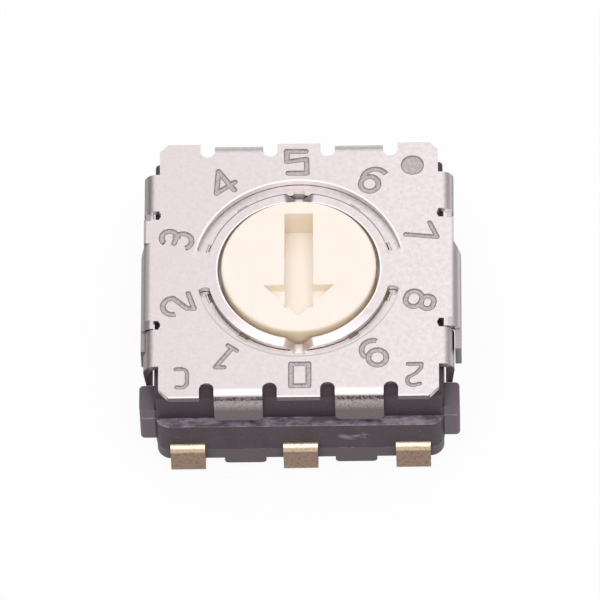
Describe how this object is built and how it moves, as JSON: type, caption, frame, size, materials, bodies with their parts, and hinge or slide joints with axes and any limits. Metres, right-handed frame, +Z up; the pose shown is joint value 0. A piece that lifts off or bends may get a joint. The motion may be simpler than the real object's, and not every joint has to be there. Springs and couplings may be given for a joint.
{
  "type": "rotary coded switch",
  "caption": "Square surface-mount rotary coded switch: metal cover with click spring, ivory rotor with arrow slot, dark housing and gold terminals.",
  "frame": {"origin": "on the rotor's axis, in the solder plane under the terminals", "axes": "+Z up along the rotor's axis, -Y towards position 0 and the front terminals, +X to the right seen from the front"},
  "size_m": [0.0073, 0.0074, 0.0029],
  "materials": {
    "cover_steel": "satin stainless sheet",
    "washer_steel": "satin stainless sheet",
    "rotor_plastic": "moulded ivory",
    "housing_plastic": "moulded dark brown",
    "seal_rubber": "matt",
    "contact_gold": "gold plated",
    "terminal_gold": "gold plated"
  },
  "bodies": {
    "root": {"housing": "housing_plastic", "cover": "cover_steel", "contact_common": "terminal_gold", "contact_1": "terminal_gold", "contact_2": "terminal_gold", "contact_4": "terminal_gold", "contact_8": "terminal_gold", "spare_terminal": "terminal_gold"},
    "turning": {"rotor": "rotor_plastic", "thrust_washer": "washer_steel", "seal_ring": "seal_rubber", "code_disc": "contact_gold"}
  },
  "joints": [
    {"name": "rotor_turn", "type": "hinge", "parent": "root", "child": "turning", "pos_m": [0, 0, 0], "axis": [0, 0, 1], "continuous": true}
  ]
}
